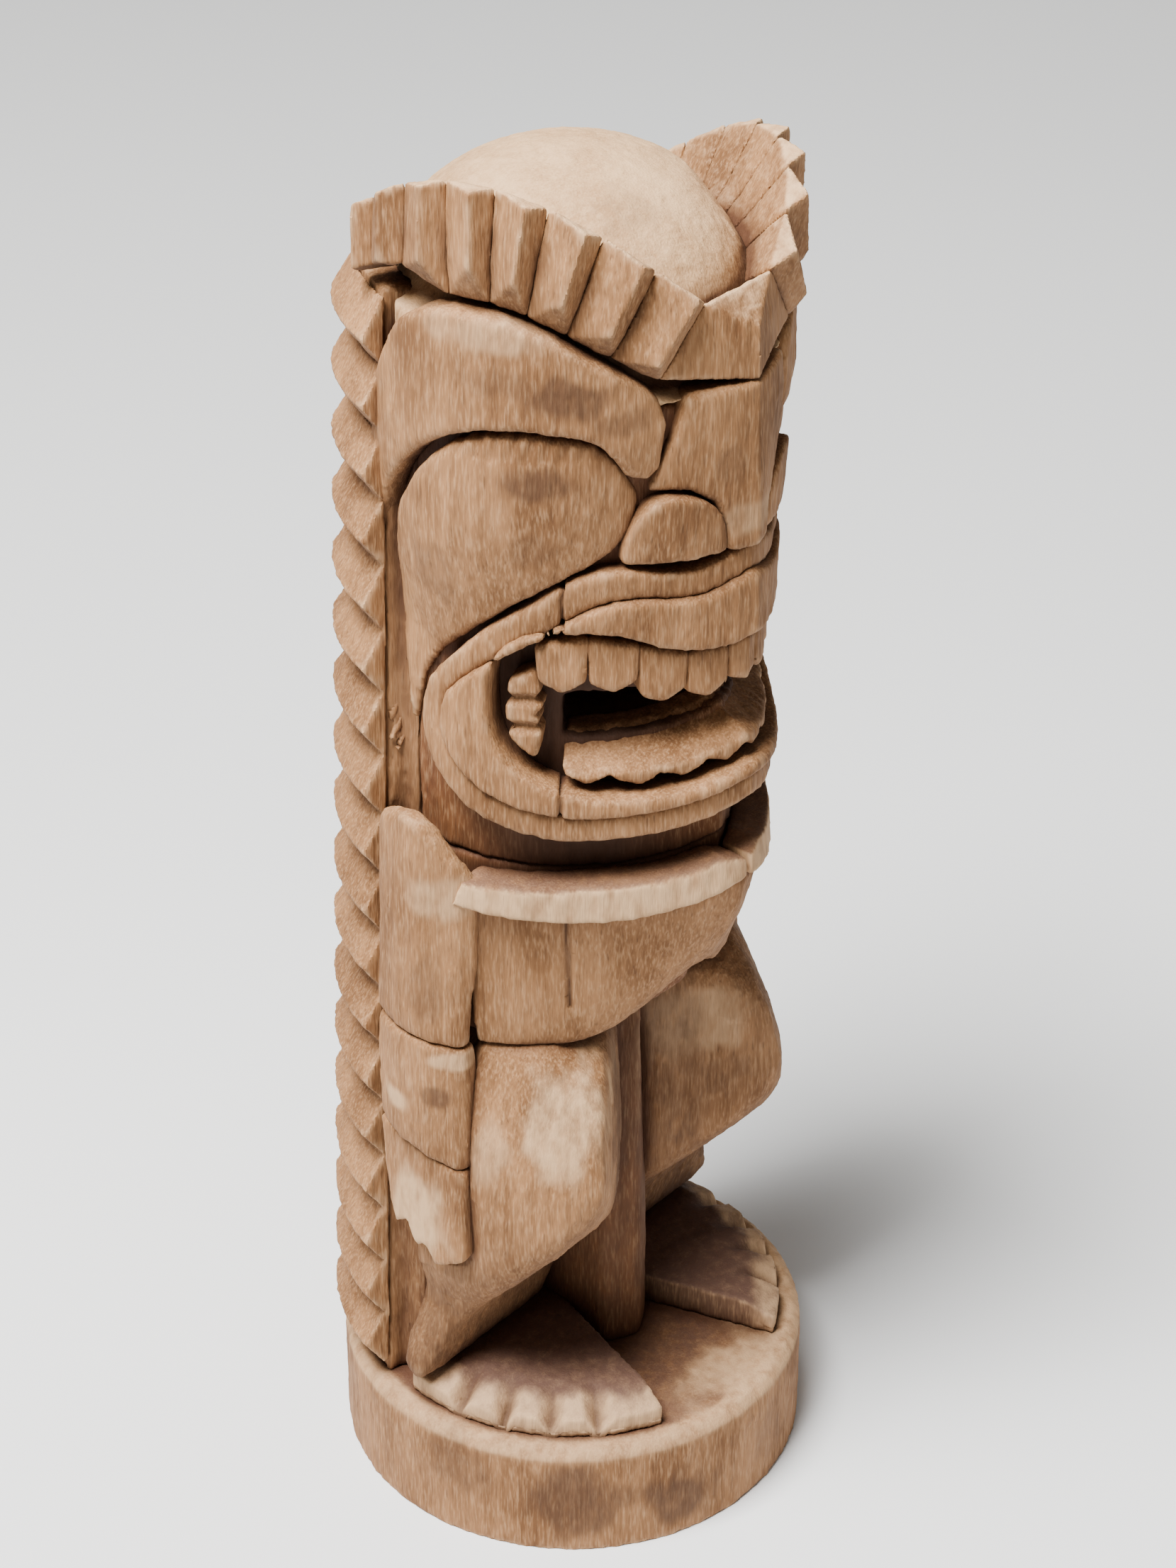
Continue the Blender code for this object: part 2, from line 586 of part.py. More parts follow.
# --- face: brows, eyes, nose ---------------------------------------------------------------------
def face_points(points):
    """Points given as degrees and a height: 100 is the crest's underside, 0 the nose's foot, -100 the chin."""
    return [(a, Z_NOSE_FOOT + z / 100 * (crest_soffit(a) - Z_NOSE_FOOT if z > 0 else Z_NOSE_FOOT - Z_CHIN))
            for a, z in points]


BROW_OUTSIDE = [(29.8, 43.9), (26, 62.3), (27, 77.2), (34, 83.7), (46, 88.2), (61, 94.2), (76, 95.3),
                (88, 89.1), (97, 68.9), (104, 42.7), (107, 11.2), (106.5, -28.9), (103, -64.4), (99.5, -88.9)]
BROW_INSIDE = [(100.5, -78.9), (103, -57.8), (104.3, -32.2), (104, -13.3), (101.5, 8.6), (96, 24.8), (86, 43.5),
               (76, 53.1), (66, 57.0), (50, 58.7), (43, 57.7)]
EYE = [(32.5, 34.9), (42.5, 52.6), (50, 54.8), (65, 53.4), (75, 49.3), (84, 40.3), (93, 23.0), (98.5, 7.5),
       (101, -13.3), (101.3, -32.2), (99.5, -56.7), (97, -73.3), (95, -60), (91, -45.6), (79, -26.7), (65, -10),
       (50, 3.0), (41.5, 10.1), (35, 20.5)]
NOSE_HALF = [(0.5, 97.8), (18.5, 83.7), (21.5, 64.7), (28.5, 38.1), (19, 39.8), (11.5, 33.8), (8.3, 19.9),
             (7.6, 5.0), (0.5, 3.5)]
NOSTRIL = [(9, 5.5), (9.6, 19.7), (13, 30.1), (20, 35.0), (27.5, 33.8), (31.5, 28.5), (36.5, 13.1), (36.8, 7.5)]

for side_name, side in SIDES:
    brow_face = bulge(0.955, 0.004, 66.0, 45.0, Z_NOSE_FOOT + 0.062, 0.075)
    relief(f"brow_{side_name}", side, [face_points(BROW_OUTSIDE + BROW_INSIDE)], core, brow_face, "tan_wood",
           face_points([BROW_OUTSIDE[-1]]))
    eye_face = bulge(0.945, 0.006, 66.0, 38.0, Z_NOSE_FOOT + 0.018, 0.045)
    relief(f"eye_{side_name}", side, [face_points(EYE)], core, eye_face, "tan_wood", face_points([EYE[0], EYE[11]]))
    relief(f"nostril_{side_name}", side, [face_points(NOSTRIL)], core, bulge(0.975, 0.004, 18.0, 22.0,
           Z_NOSE_FOOT + 0.010, 0.03), "tan_wood", face_points([NOSTRIL[0], NOSTRIL[-1]]))

nose_loop = face_points(NOSE_HALF + [(-a, z) for a, z in NOSE_HALF[::-1]])
relief("nose", 1, [nose_loop], core, lambda angle, z: log_radius(z) * 0.995 - 0.0075 * abs(angle) / 28.0, "tan_wood",
       nose_loop, step=7.0)

# --- skull and crest -----------------------------------------------------------------------------


def make_skull():
    """The smooth domed top of the head, on a drum that slopes down to the front."""
    z_low = Z_NECK_TOP - 0.0004
    drum_high = Z_NAPE + 0.0005
    bm = bmesh.new()
    bmesh.ops.create_cone(bm, cap_ends=True, segments=64, radius1=SKULL_DRUM_RADIUS, radius2=SKULL_DRUM_RADIUS,
                          depth=drum_high - z_low, matrix=Matrix.Translation((0, 0, (z_low + drum_high) / 2)))
    trim(bm, (0, BACK_PLANE, drum_high), (0, z_low - drum_high, SKULL_DRUM_RADIUS + BACK_PLANE))
    skull = place("skull", bm, "pale_wood")
    dome = bmesh.new()
    z_mid = Z_CREST_FRONT - 0.006
    radius = CREST_INNER_RADIUS - GAP
    bmesh.ops.create_uvsphere(dome, u_segments=48, v_segments=24, radius=radius)
    bmesh.ops.scale(dome, vec=(1, 1, (Z_SKULL_TOP - z_mid) / radius), verts=dome.verts)
    bmesh.ops.translate(dome, vec=(0, 0, z_mid), verts=dome.verts)
    trim(dome, (0, 0, z_low + 0.002), (0, 0, -1))
    cut(skull, place("dome_form", dome, None, cutter=True), "UNION")
    nape = [(-0.1, BACK_PLANE - GAP), (0.1, BACK_PLANE - GAP), (0.1, 0.1), (-0.1, 0.1)]
    cut(skull, prism("nape_cut", nape, 2, Z_CHEST, Z_NAPE + GAP, cutter=True))


make_skull()


def lean(angle):
    """How far round the pleats' feet stand behind their tips: in front, but not at the side."""
    return 14.0 * max(1.0 - abs(angle) / 75.0, 0.0) * min(abs(angle) / 8.0, 1.0)


def crest_section(angle, proud, inner_radius):
    """Five corners of the crest's section at one angle, all in one plane, the outer edge proud by a depth."""
    tip, foot = crest_tip(angle), crest_foot(angle)
    soffit = crest_soffit(angle)
    foot_angle = angle + math.copysign(lean(angle), angle)
    outer_tip = around(angle, log_radius(tip) - PLEAT_DEPTH + proud, tip)
    outer_foot = around(foot_angle, log_radius(foot) - PLEAT_DEPTH + proud, foot)
    root = around((angle + foot_angle) / 2, inner_radius, (tip + foot) / 2)
    normal = (outer_foot - outer_tip).cross(root - outer_tip)
    if normal.dot(around(angle + 90.0, 1.0, 0.0)) < 0:
        normal.negate()
    level = normal.dot(outer_tip)
    reach = math.hypot(normal.x, normal.y)
    seat_share = 0.90 if foot - soffit > 0.004 else 0.93

    def on_plane(radius, z):
        """The point of the section's plane at a radius and a height, on the side where the tip is."""
        turn = math.asin((level - normal.z * z) / (radius * reach)) - math.atan2(-normal.y, normal.x)
        return Vector((radius * math.sin(turn), -radius * math.cos(turn), z))

    valley = tip - 0.026 * (0.35 + 0.65 * crest_lift(angle))
    return [outer_tip, outer_foot, on_plane(seat_share * log_radius(foot), soffit),
            on_plane(inner_radius, soffit), on_plane(inner_radius, valley)]


def crest_tooth(name, start, ridge, end):
    """One pleat of the crest, from its first edge over its ridge to its last edge."""
    bm = bmesh.new()
    feet = [a + math.copysign(lean(a), a) for a in (start, end)]
    chord = math.cos(math.radians(abs(feet[1] - feet[0]) / 2))
    inner_radius = (CREST_INNER_RADIUS + 4 * GAP) / chord
    for angle, proud in ((start, 0.0), (ridge, PLEAT_DEPTH), (end, 0.0)):
        for corner in crest_section(angle, proud, inner_radius):
            bm.verts.new(corner)
    bmesh.ops.convex_hull(bm, input=bm.verts)
    loose = [v for v in bm.verts if not v.link_faces]
    bmesh.ops.delete(bm, geom=loose, context="VERTS")
    return place(name, bm, "tan_wood")


crest_tooth("crest_front", -CREST_TOOTH_ANGLE + PLEAT_GAP_ANGLE, 0.0, CREST_TOOTH_ANGLE - PLEAT_GAP_ANGLE)
for side_name, side in SIDES:
    for number in range(1, CREST_TEETH + 1):
        start = CREST_TOOTH_ANGLE * number
        end = start + CREST_TOOTH_ANGLE - PLEAT_GAP_ANGLE
        if number == CREST_TEETH:
            end = CREST_BACK_ANGLE
        ridge = start + 0.35 * (end - start)
        crest_tooth(f"crest_{side_name}_{number}", side * start, side * ridge, side * end)
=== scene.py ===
# %% [markdown]
# # A carved wooden figure on its plinth
# The real figure is one length of log, carved all over with gouges and a flat chisel and left as raw wood.
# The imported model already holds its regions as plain, mirrored solids with a hair-wide gap along each deep
# cut. Here every region is copied, worked until it looks hand cut, and finished as weathered raw wood.
# The figure has no moving part, so every piece rides on the one body.

# %% Load the frame
import math

import bpy
import numpy as np
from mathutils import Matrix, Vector
from mathutils.bvhtree import BVHTree


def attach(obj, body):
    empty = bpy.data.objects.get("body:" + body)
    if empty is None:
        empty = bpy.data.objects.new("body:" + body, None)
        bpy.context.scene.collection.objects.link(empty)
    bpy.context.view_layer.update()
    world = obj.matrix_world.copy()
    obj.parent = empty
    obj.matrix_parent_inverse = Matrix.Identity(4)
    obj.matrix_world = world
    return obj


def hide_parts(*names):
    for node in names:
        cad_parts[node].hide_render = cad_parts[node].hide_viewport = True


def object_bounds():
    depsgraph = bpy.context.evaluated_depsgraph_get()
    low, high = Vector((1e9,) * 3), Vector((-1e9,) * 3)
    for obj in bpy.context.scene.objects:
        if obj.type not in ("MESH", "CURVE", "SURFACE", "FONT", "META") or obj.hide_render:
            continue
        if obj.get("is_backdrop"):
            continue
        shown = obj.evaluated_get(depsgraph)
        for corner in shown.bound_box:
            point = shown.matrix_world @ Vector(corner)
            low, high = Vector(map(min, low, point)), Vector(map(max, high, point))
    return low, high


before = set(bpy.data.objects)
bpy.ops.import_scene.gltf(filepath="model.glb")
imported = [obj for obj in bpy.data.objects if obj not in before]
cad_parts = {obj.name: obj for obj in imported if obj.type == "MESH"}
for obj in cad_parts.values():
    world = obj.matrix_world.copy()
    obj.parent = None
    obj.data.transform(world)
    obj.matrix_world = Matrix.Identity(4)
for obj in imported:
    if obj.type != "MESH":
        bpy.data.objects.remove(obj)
cad_low, cad_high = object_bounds()
MM = 0.001
print("solids in the frame:", len(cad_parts), "height:", round(cad_high.z - cad_low.z, 4))

# %% [markdown]
# ## Helpers for working a piece
# An operator acts on everything that is selected, so each helper first lets go of all objects and then
# takes hold of one. A copy of a solid comes as loose triangles: its doubles are merged before any work.


# %% Take hold of one object
def take_hold(piece):
    """Leaves one object selected and active."""
    bpy.ops.object.select_all(action="DESELECT")
    piece.select_set(True)
    bpy.context.view_layer.objects.active = piece


def rough_out(name, node):
    """A copy of one solid as a new object with its doubles merged."""
    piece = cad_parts[node].copy()
    piece.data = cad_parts[node].data.copy()
    piece.parent = None
    for key in list(piece.keys()):
        del piece[key]
    bpy.context.scene.collection.objects.link(piece)
    piece.name = piece.data.name = name
    take_hold(piece)
    bpy.ops.object.mode_set(mode="EDIT")
    bpy.ops.mesh.select_all(action="SELECT")
    bpy.ops.mesh.remove_doubles(threshold=0.01 * MM)
    bpy.ops.mesh.normals_make_consistent(inside=False)
    bpy.ops.object.mode_set(mode="OBJECT")
    return piece


def apply_modifier(piece, kind, **settings):
    """Adds one modifier with its settings and applies it."""
    take_hold(piece)
    modifier = piece.modifiers.new(kind.lower(), kind)
    for setting, value in settings.items():
        setattr(modifier, setting, value)
    bpy.ops.object.modifier_apply(modifier=modifier.name)


def soften(piece, cell, passes, divisions=0):
    """Remeshes in even cells, rounds the edges over, and divides again for fine work."""
    apply_modifier(piece, "REMESH", mode="VOXEL", voxel_size=cell * MM, use_smooth_shade=True)
    if passes:
        apply_modifier(piece, "SMOOTH", factor=0.5, iterations=passes)
    if divisions:
        apply_modifier(piece, "SUBSURF", levels=divisions, render_levels=divisions)


# %% [markdown]
# ## Tools that move the surface
# A chisel cut is described here by what it does to the surface: it moves every corner of the dense copy a
# little. The tools work on rows of x, y, z in metres, with the log's axis as the z axis.


# %% Points, facing and noise
NOISE_CELLS = 32  # the noise repeats after this many lumps


def points_of(piece):
    """All corners of a piece as rows of x, y, z."""
    flat = np.empty(len(piece.data.vertices) * 3)
    piece.data.vertices.foreach_get("co", flat)
    return flat.reshape(-1, 3)


def put_points(piece, points):
    """Writes the corners back."""
    piece.data.vertices.foreach_set("co", points.ravel())
    piece.data.update()


def facing_of(piece):
    """The outward direction at every corner."""
    flat = np.empty(len(piece.data.vertices) * 3)
    piece.data.vertex_normals.foreach_get("vector", flat)
    return flat.reshape(-1, 3)


def smooth_step(value, low, high):
    """0 below low, 1 above high, and an even ease between."""
    share = np.clip((value - low) / (high - low), 0, 1)
    return share * share * (3 - 2 * share)


def between_corners(table, base, share):
    """A table's values between the eight corners of each cell, weighted by the share of the way across."""
    total = np.zeros(len(base))
    for step in np.ndindex(2, 2, 2):
        weight = np.prod(np.abs(1 - np.array(step) - share), axis=1)
        i, j, k = ((base + step) % table.shape).T
        total += weight * table[i, j, k]
    return total


def lumps(points, size, seed):
    """Even noise between -1 and 1; its lumps have the given sizes along x, y and z."""
    table = np.random.default_rng(seed).uniform(-1, 1, (NOISE_CELLS,) * 3)
    spot = points / size
    base = np.floor(spot).astype(int)
    share = spot - base
    return between_corners(table, base, share * share * (3 - 2 * share))


def round_the_log(points):
    """Degrees round the log, none in front and positive to the figure's left, and distance from its axis."""
    return np.degrees(np.arctan2(points[:, 0], -points[:, 1])), np.hypot(points[:, 0], points[:, 1])


# %% [markdown]
# Three marks of the tools: flat cuts side by side, as a broad chisel leaves them, the torn fibres between
# them, and V cuts. They could be carved with displacement textures, but those can't press a patch flat.

# %% Flat cuts, roughness and V cuts
FACING_WEIGHT = 1.3       # how far a turn of the surface counts against distance, so no cut wraps an edge
ALONG_GRAIN = 1.7         # a cut is this much longer along the grain than across it
SEED_SCATTER = 0.3        # the cuts' middles are scattered by this share of a cut
DEEPEST_FLAT = 1.2 * MM   # a flat cut moves no corner further
ROWS_AT_ONCE = 20000


def facet(piece, size, strength, seed):
    """Flat cuts side by side, each pressed towards its own plane; the size is in millimetres."""
    points, facing = points_of(piece), facing_of(piece)
    chance = np.random.default_rng(seed)
    measure = np.hstack([points / (size * MM, size * MM, size * ALONG_GRAIN * MM), facing * FACING_WEIGHT])
    rough_cells = np.floor(measure[:, :3] + chance.random(3)) * 8 + np.floor(facing * 1.2 + 0.5)
    first = np.unique(rough_cells, axis=0, return_index=True)[1]
    scatter = chance.uniform(-SEED_SCATTER, SEED_SCATTER, (len(first), 6)) * (1, 1, 1, 0, 0, 0)
    seeds = measure[first] + scatter
    cut = np.empty(len(points), dtype=int)
    for start in range(0, len(points), ROWS_AT_ONCE):
        rows = slice(start, start + ROWS_AT_ONCE)
        cut[rows] = np.argmin((seeds ** 2).sum(1) - 2 * measure[rows] @ seeds.T, axis=1)

    def sum_over_cuts(values):
        """Each cut's sum of rows of three."""
        return np.stack([np.bincount(cut, values[:, i], len(seeds)) for i in range(3)], axis=1)

    counts = np.maximum(np.bincount(cut, minlength=len(seeds)), 1)
    centre = sum_over_cuts(points) / counts[:, None]
    plane = sum_over_cuts(facing)
    plane /= np.maximum(np.linalg.norm(plane, axis=1), 1e-9)[:, None]
    proud = ((points - centre[cut]) * plane[cut]).sum(1)
    proud = np.clip(proud, -DEEPEST_FLAT, DEEPEST_FLAT)
    put_points(piece, points - strength * proud[:, None] * plane[cut])


def roughen(piece, depth, size, seed):
    """Uneven surface: depth and lump sizes in millimetres."""
    points = points_of(piece)
    rise = lumps(points, np.array(size) * MM, seed) * depth * MM
    put_points(piece, points + facing_of(piece) * rise[:, None])


def distance_to(points, path):
    """Distance over the log's surface to a path of (degrees, height in millimetres)."""
    turn, radius = round_the_log(points)
    flat = np.column_stack([np.radians(turn) * radius, points[:, 2]])
    level = np.ones(len(points))
    nearest = level.copy()
    for (turn_0, high_0), (turn_1, high_1) in zip(path, path[1:]):
        start = np.column_stack([math.radians(turn_0) * radius, high_0 * MM * level])
        along = np.column_stack([math.radians(turn_1 - turn_0) * radius, (high_1 - high_0) * MM * level])
        share = np.clip(((flat - start) * along).sum(1) / np.maximum((along ** 2).sum(1), 1e-12), 0, 1)
        nearest = np.minimum(nearest, np.linalg.norm(flat - start - share[:, None] * along, axis=1))
    return nearest


def paint(piece, mark, values):
    """Keeps a number for every corner, which the wood's finish reads; the stronger of two marks stays."""
    layer = piece.data.attributes.get(mark) or piece.data.attributes.new(mark, "FLOAT", "POINT")
    kept = np.empty(len(values), dtype=np.float32)
    layer.data.foreach_get("value", kept)
    layer.data.foreach_set("value", np.maximum(kept, values).astype(np.float32))


def v_cut(piece, path, width, depth, darkness=0.8):
    """A V cut along a path on the log, deepest on the path; width and depth in millimetres. Its floor is
    painted dark by the darkness: painted shade.
    """
    points = points_of(piece)
    outside = smooth_step(round_the_log(points)[1], 0.045, 0.055)
    bite = np.clip(1 - distance_to(points, path) / (width * MM), 0, 1) * outside
    put_points(piece, points - facing_of(piece) * (bite * depth * MM)[:, None])
    # painted shade: the V's floor is painted dark
    paint(piece, "cut", bite * darkness)


# %% [markdown]
# ## How the real wood differs from the plain solids
# The plain solids are the same on both sides. The carver was not so even: below the eyes the two front
# quarters of the figure are flatter than a round log, and the left half of the crest droops. One tool makes
# both changes to every copy alike, so neighbours stay neighbours. A lattice could do it too, but its bend
# can't be given as a depth for each height.

# %% Settle the plain form into the carved one
HOLLOW_HEIGHTS = np.array([100, 160, 210, 240, 270, 290, 360, 370, 400, 420]) * MM
HOLLOW_DEPTHS = np.array([0, 5, 12, 14, 12, 10.5, 10.5, 9, 3, 0]) * MM
CREST_DROOP = 30 * MM
INWARD, BACKWARD = 0.766, 0.643  # level direction in which the quarters are pressed flat
EYE_HEIGHT = 0.9287              # they were judged from this height above the floor
EYE_DISTANCE = 1.066             # and this far from the axis


def settle(points):
    """Flattens the two front quarters below the eyes and lets the left half of the crest droop."""
    turn, radius = round_the_log(points)
    high = points[:, 2]
    quarter = np.where(np.abs(turn) < 90, np.sin(np.radians(2 * np.abs(turn))), 0)
    depth = np.interp(high, HOLLOW_HEIGHTS, HOLLOW_DEPTHS) * quarter * smooth_step(radius, 0.012, 0.035)
    side = np.sign(points[:, 0])
    moved = points.copy()
    moved[:, 0] -= side * depth * INWARD
    moved[:, 1] += depth * BACKWARD
    moved[:, 2] -= depth * (EYE_HEIGHT - high) / EYE_DISTANCE
    droop = smooth_step(turn, 15, 110) * (1 - smooth_step(turn, 118, 180)) * (turn > 0)
    droop *= np.clip((high - 0.330) / 0.110, 0, 1) * smooth_step(radius, 0.035, 0.055)
    moved[:, 2] -= CREST_DROOP * droop
    return moved


# %% [markdown]
# ## Working every region
# A carver can saw such a figure out in blocks and then round each block over with a gouge, and the pieces are
# worked the same way here. Each line of the table is one kind of region: the size of the cells it is
# remeshed in, how often its edges are rounded over, how often it is divided again, its swell, the size and
# the strength of the flat cuts, and the depth of its roughness, in millimetres. Legs and arms are taken in
# big cells and divided again, which swells the sawn-out blocks to limbs, and the swell gives back what the
# rounding took. Crest and fins stay crisp.

# %% The table of work
WORK = {
    "crest": (0.8, 1, 0, 0.2, 9, 0.4, 0.22),
    "skull": (1.6, 8, 1, 0.0, 14, 0.25, 0.25),
    "mane": (0.75, 0, 0, 0.2, 9, 0.0, 0.25),
    "brow": (1.0, 9, 0, 0.9, 12, 0.45, 0.25),
    "eye": (1.0, 12, 0, 1.2, 13, 0.45, 0.25),
    "nose": (0.8, 3, 0, 0.9, 12, 0.6, 0.2),
    "nostril": (0.8, 8, 0, 0.6, 7, 0.4, 0.2),
    "lip": (1.0, 9, 0, 0.7, 10, 0.5, 0.25),
    "upper_tooth": (0.7, 12, 0, 1.3, 6, 0.4, 0.25),
    "corner_teeth": (0.7, 10, 0, 1.0, 6, 0.4, 0.25),
    "lower_teeth": (0.8, 9, 0, 1.0, 6, 0.4, 0.35),
    "head_core": (1.2, 3, 0, 0.0, 8, 0.3, 0.5),
    "chest": (1.0, 3, 0, 0.3, 10, 0.6, 0.25),
    "belly": (1.4, 12, 0, 1.0, 14, 0.5, 0.25),
    "belly_core": (1.3, 3, 0, 0.0, 10, 0.4, 0.3),
    "back": (1.5, 2, 0, 0.0, 12, 0.5, 0.4),
    "hip_column": (1.6, 8, 0, 0.6, 12, 0.4, 0.2),
    "leg": (3.4, 11, 2, 1.8, 13, 0.55, 0.25),
    "upper_arm": (2.2, 5, 1, 0.9, 12, 0.6, 0.25),
    "forearm": (2.0, 4, 1, 0.9, 10, 0.6, 0.25),
    "hand": (1.0, 4, 0, 0.5, 8, 0.6, 0.25),
    "foot": (1.0, 2, 0, 0.2, 9, 0.4, 0.3),
    "plinth": (1.3, 2, 0, 0.0, 14, 0.3, 0.25),
}


def kind_of(node):
    """The line of the table that a region belongs to: the longest name it starts with."""
    return max((kind for kind in WORK if node.startswith(kind)), key=len)


DOME_SPREAD = 1.18   # the real dome presses against the crest all round
BELLY_SPREAD = 1.10  # belly and chest reach round to the arms


def turned(points, spread):
    """Points moved round the log so that their angle from the front grows by a factor."""
    turn, radius = round_the_log(points)
    angle = np.radians(turn * spread)
    return np.column_stack([radius * np.sin(angle), -radius * np.cos(angle), points[:, 2]])


def scaled_round(points, factor):
    """Points moved out from the log's axis, each by its own factor."""
    return points * np.column_stack([factor, factor, np.ones(len(points))])


# %% [markdown]
# Some regions need a form that their plain solid hasn't got. The dome is one smooth cap that fills the
# crest. Belly and chest are a bowl with an arch over the column. Brow and eye run on to the fins. A leg is
# one lobe, thickest at the knee. Each gets one short function that moves its corners.

# %% The forms that the plain solids lack
ARCH_LIFT = 15 * MM
CORE_GROWTH = 0.085  # the cuts round the nose are this much shallower, as a share of the radius
LEG_DRAW = 8 * MM
KNEE_HEIGHT = 0.150
KNEE_REACH = 0.052
FLOOR_SLOPE = 0.20   # the mouth's floor runs in by this share of its radius


def bowl(points):
    """Belly and chest reach round to the arms, and their underside arches up over the column."""
    turn = round_the_log(points)[0]
    arch = (1 - smooth_step(np.abs(turn), 3, 46)) * (1 - smooth_step(points[:, 2], 0.203, 0.255))
    points = turned(points, BELLY_SPREAD)
    points[:, 2] += ARCH_LIFT * arch
    return points


def run_on_to_fins(points, growth, turn_full):
    """A lobe of the face stretched round towards the fins."""
    turn = round_the_log(points)[0]
    return turned(points, 1 + growth * smooth_step(np.abs(turn), 60, turn_full))


def shallow_cuts(points):
    """The log's middle brought out in front, above the mouth."""
    turn, radius = round_the_log(points)
    face = smooth_step(points[:, 2], 0.372, 0.380) * (1 - smooth_step(np.abs(turn), 52, 66))
    return scaled_round(points, 1 + CORE_GROWTH * face * smooth_step(radius, 0.045, 0.055))


def knee(points):
    """Thigh and calf drawn in from the knee."""
    radius, high = round_the_log(points)[1], points[:, 2]
    draw = np.clip(((high - KNEE_HEIGHT) / KNEE_REACH) ** 2, 0, 1.3) * smooth_step(high, 0.060, 0.090)
    return scaled_round(points, 1 - LEG_DRAW * draw / np.maximum(radius, 0.02))


def sloping_floor(points):
    """The lower teeth with the mouth's floor sloping in behind them."""
    high = points[:, 2]
    return scaled_round(points, 1 - FLOOR_SLOPE * smooth_step(high, high.min() + 0.005, high.max()))


RESHAPE = {
    "skull": lambda points: points * (DOME_SPREAD, DOME_SPREAD, 1),
    "belly": bowl,
    "chest": bowl,
    "brow": lambda points: run_on_to_fins(points, 0.075, 104),
    "eye": lambda points: run_on_to_fins(points, 0.035, 100),
    "head_core": shallow_cuts,
    "leg": knee,
    "lower_teeth": sloping_floor,
}
print("kinds with a form of their own:", len(RESHAPE))

# %% Work them all
carved = {}
for order, node in enumerate(sorted(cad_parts)):
    cell, passes, divisions, swell, cut_size, cut_strength, rough_depth = WORK[kind_of(node)]
    piece = rough_out("carved_" + node, node)
    soften(piece, cell, passes, divisions)
    points = points_of(piece) + facing_of(piece) * swell * MM
    points = RESHAPE.get(kind_of(node), lambda same: same)(points)
    put_points(piece, settle(points))
    if cut_strength:
        facet(piece, cut_size, cut_strength, order)
    roughen(piece, rough_depth, (2.2, 2.2, 9), order + 100)
    roughen(piece, rough_depth * 0.5, (1.1, 1.1, 2.5), order + 200)
    apply_modifier(piece, "SMOOTH", factor=0.35, iterations=1)
    if node.startswith(("mane", "crest")):
        take_hold(piece)
        bpy.ops.object.shade_smooth_by_angle(angle=math.radians(24))
    paint(piece, "cut", np.zeros(len(piece.data.vertices)))
    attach(piece, "root")
    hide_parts(node)
    carved[node] = piece
triangles = {node: sum(len(face.vertices) - 2 for face in piece.data.polygons)
             for node, piece in carved.items()}
fullest = max(triangles, key=triangles.get)
print("pieces:", len(carved), "triangles:", sum(triangles.values()), "most:", triangles[fullest], fullest)

# %% [markdown]
# ## Single cuts
# The eye's upper edge is a row of slanting chisel cuts, lips, belly and brow have drying cracks that follow
# the grain, and V cuts part the toes and the teeth. Each is a V pressed into the dense copy, so that no
# Boolean leaves a ragged seam, and its floor is painted dark as painted shade.

# %% Cracks, as paths of (degrees, height), width and depth
CRACKS = {
    "lip_outer": [([(-51.5, 382), (-52.5, 366), (-51.5, 352)], 0.9, 2.4)],
    "lip_inner": [([(-52, 366), (-52.6, 352), (-51.8, 340)], 0.9, 2.2),
                  ([(-53, 311), (-52.4, 300), (-53, 290)], 1.0, 2.2)],
    "belly": [([(-53, 268), (-51.5, 250), (-51, 232), (-50.5, 212)], 1.0, 2.0)],
    "brow_right": [([(-29, 405), (-36, 396), (-43, 385)], 0.8, 0.8)],
    "skull": [([(-20, 470), (10, 478)], 0.8, 0.8)],
}
for node, cracks in CRACKS.items():
    for path, width, depth in cracks:
        v_cut(carved[node], path, width, depth)

# %% Lids, toes and teeth
LID_CUTS = 9
TOE_PARTINGS = (43, 56, 69, 82)  # degrees
TOE_PARTING_WIDTH = 4.5 * MM
for side in (-1, 1):
    eye = carved["eye_right" if side < 0 else "eye_left"]
    for step in range(LID_CUTS):
        start, drop = 40 + 4.6 * step, 0.2 * step
        v_cut(eye, [(side * start, 428 - drop), (side * (start + 2.5), 417 - drop)], 2.2, 0.7, 0.1)
for side in (-1, 1):
    foot = carved["foot_right" if side < 0 else "foot_left"]
    points = points_of(foot)
    turn, radius = round_the_log(points)
    high = smooth_step(points[:, 2], 0.046, 0.052)
    rim = smooth_step(radius, 0.056, 0.071)
    parting = np.zeros(len(points))
    for degrees in TOE_PARTINGS:
        away = np.abs(np.radians(turn * side - degrees)) * radius
        parting = np.maximum(parting, np.clip(1 - away / TOE_PARTING_WIDTH, 0, 1))
    points[:, 2] -= high * (parting * 7.0 * rim + 4.0 * smooth_step(radius, 0.062, 0.074)) * MM
    put_points(foot, points)
    # painted shade between the toes
    paint(foot, "cut", high * smooth_step(parting, 0.6, 1.0) * rim * 0.4)
for side in (-1, 1):
    corner = carved["corner_teeth_right" if side < 0 else "corner_teeth_left"]
    high = points_of(corner)[:, 2]
    for share in (0.36, 0.68):
        level = (high.min() + share * (high.max() - high.min())) / MM
        v_cut(corner, [(side * 50, level), (side * 80, level)], 2.6, 2.4, 0.3)
for number in range(-4, 5):
    v_cut(carved["lower_teeth"], [(number * 13, 288), (number * 13, 297)], 2.4, 2.2, 0.3)
print("cracks:", sum(len(c) for c in CRACKS.values()), "toes:", 2 * (len(TOE_PARTINGS) + 1))
